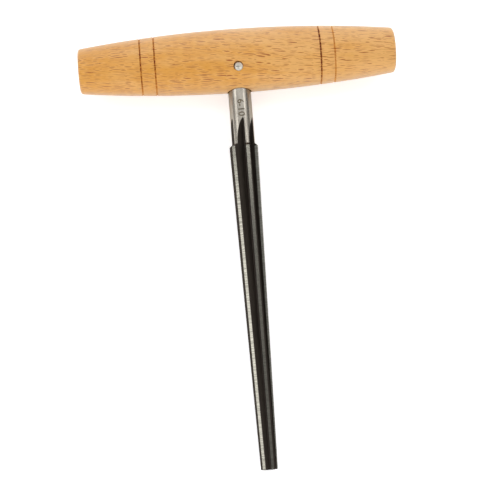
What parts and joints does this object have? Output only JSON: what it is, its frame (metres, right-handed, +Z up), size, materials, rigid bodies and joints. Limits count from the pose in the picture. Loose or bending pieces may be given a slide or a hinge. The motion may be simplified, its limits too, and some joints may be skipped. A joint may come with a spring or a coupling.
{
  "type": "peg reamer",
  "caption": "Hand reamer with a turned wooden T-handle and a tapered, straight-fluted steel blade, for cutting tuning-peg holes to the peg's taper.",
  "frame": {"origin": "on the surface that the tool lies on, under the middle of its bounding box", "axes": "+X along the handle, +Y from the blade's tip toward the handle, +Z up from the surface that the tool lies on"},
  "size_m": [0.1106, 0.1536, 0.0224],
  "materials": {
    "beech": "oiled, satin",
    "tool_steel": "ground lands and shank, blackened flutes",
    "pin_steel": "satin"
  },
  "bodies": {
    "root": {"handle": "beech", "reamer": "tool_steel", "cross_pin": "pin_steel"}
  },
  "joints": []
}
